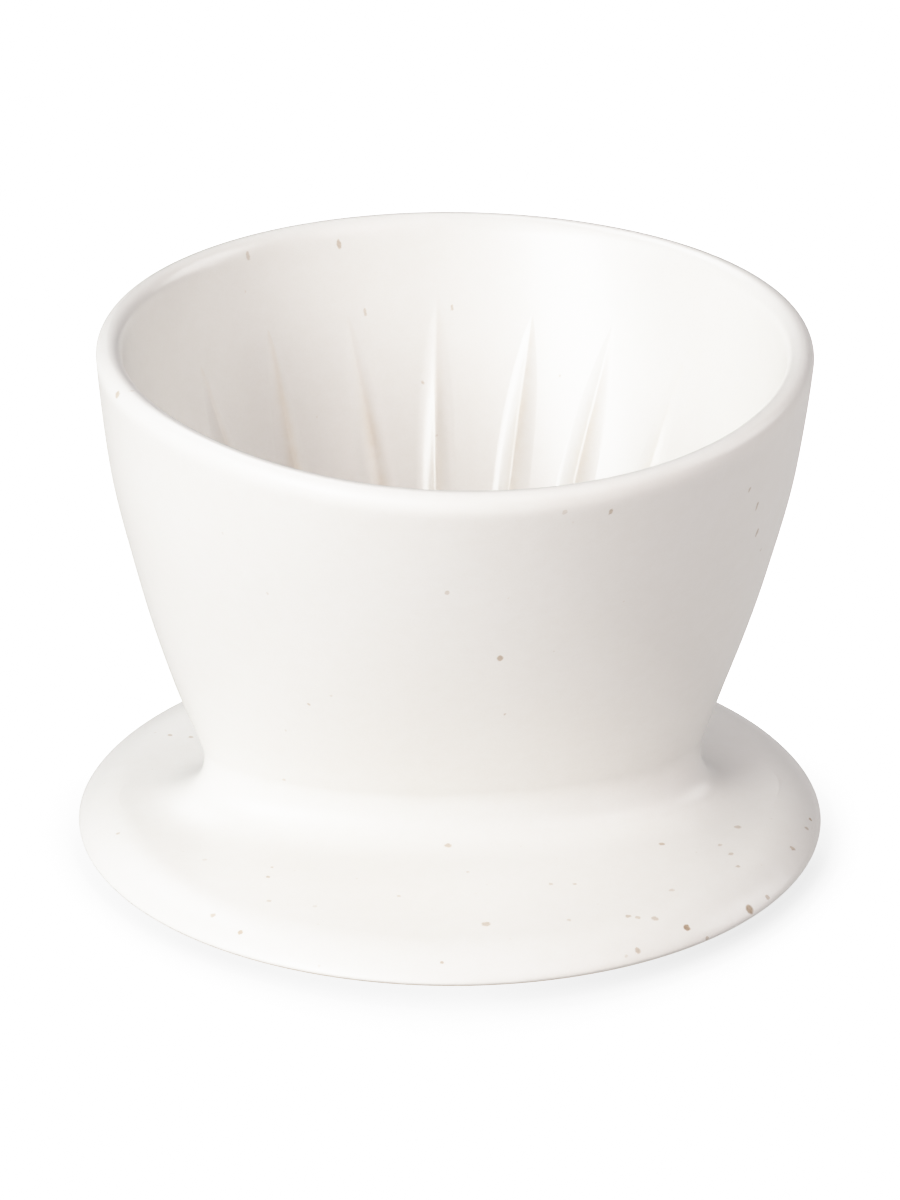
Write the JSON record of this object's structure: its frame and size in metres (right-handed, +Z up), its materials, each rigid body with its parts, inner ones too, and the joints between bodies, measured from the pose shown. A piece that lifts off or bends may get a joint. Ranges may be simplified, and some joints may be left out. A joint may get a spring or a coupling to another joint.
{
  "type": "pour over dripper",
  "caption": "Glazed stoneware coffee dripper: nearly round bowl narrowing to an oval neck, ribbed inside, with drip holes in its floor, on a wide round saucer that rests on a mug.",
  "frame": {"origin": "centre of the saucer's underside, on the plane of the foot that touches the table", "axes": "+Z up out of the bowl's mouth, X along the long axis of the oval neck and the row of drip holes, -Y the front broad wall"},
  "size_m": [0.12, 0.12, 0.084],
  "materials": {
    "speckled_glaze": "satin warm-white glaze with fine tan iron specks",
    "bare_stoneware": "unglazed buff stoneware, matte"
  },
  "bodies": {
    "root": {"bowl_wall": "speckled_glaze", "neck_collar": "speckled_glaze", "ribs_back": "speckled_glaze", "ribs_front": "speckled_glaze", "drain_floor": "speckled_glaze", "base_saucer": "speckled_glaze", "locating_ring": "bare_stoneware"}
  },
  "joints": []
}
